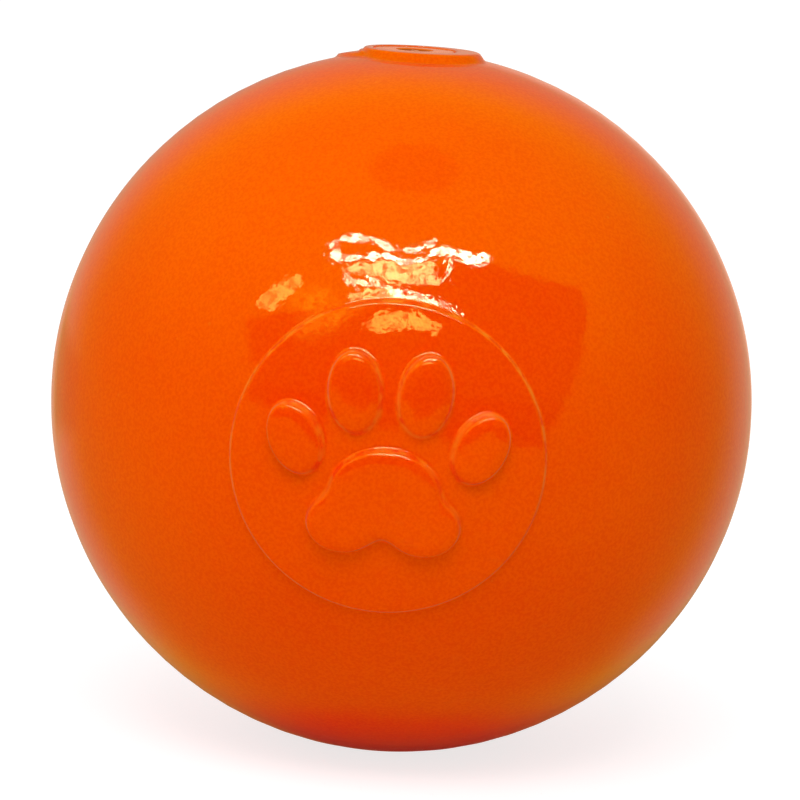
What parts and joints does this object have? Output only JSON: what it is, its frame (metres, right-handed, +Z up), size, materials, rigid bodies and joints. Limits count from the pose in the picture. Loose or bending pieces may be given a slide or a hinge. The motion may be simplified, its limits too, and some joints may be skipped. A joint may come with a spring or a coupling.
{
  "type": "squeaky dog ball",
  "caption": "Hollow rubber dog ball with a flat foot, a raised round badge and a reed squeaker pressed into a boss on its crown; squeezing it blows air past the reed and out of the vent.",
  "frame": {"origin": "middle of the flat foot that the ball stands on", "axes": "+Z up through the middle of the boss, -Y towards the front, which carries the round badge, +X to the right"},
  "size_m": [0.0634, 0.0642, 0.0632],
  "materials": {
    "orange_rubber": "glossy, slightly rippled",
    "orange_plastic": "gloss",
    "natural_plastic": "satin",
    "reed_film": "gloss"
  },
  "bodies": {
    "ball": {"ball_shell": "orange_rubber"},
    "squeaker": {"squeaker_case": "orange_plastic", "vent_cap": "orange_plastic", "reed_tube": "natural_plastic", "tone_board": "natural_plastic", "reed_clip": "natural_plastic"},
    "reed": {"reed": "reed_film"}
  },
  "joints": [
    {"name": "squeeze", "type": "slide", "parent": "ball", "child": "squeaker", "axis": [0, 0, 1], "range_m": [-0.016, 0], "stiffness_N_per_m": 4000, "deforming": ["ball_shell"]},
    {"name": "reed_flex", "type": "hinge", "parent": "squeaker", "child": "reed", "pos_m": [-0.0007, 0, 0.0556], "axis": [1, 0, 0], "range_deg": [-4, 8], "stiffness_Nm_per_rad": 0.0026, "deforming": ["reed"]}
  ]
}
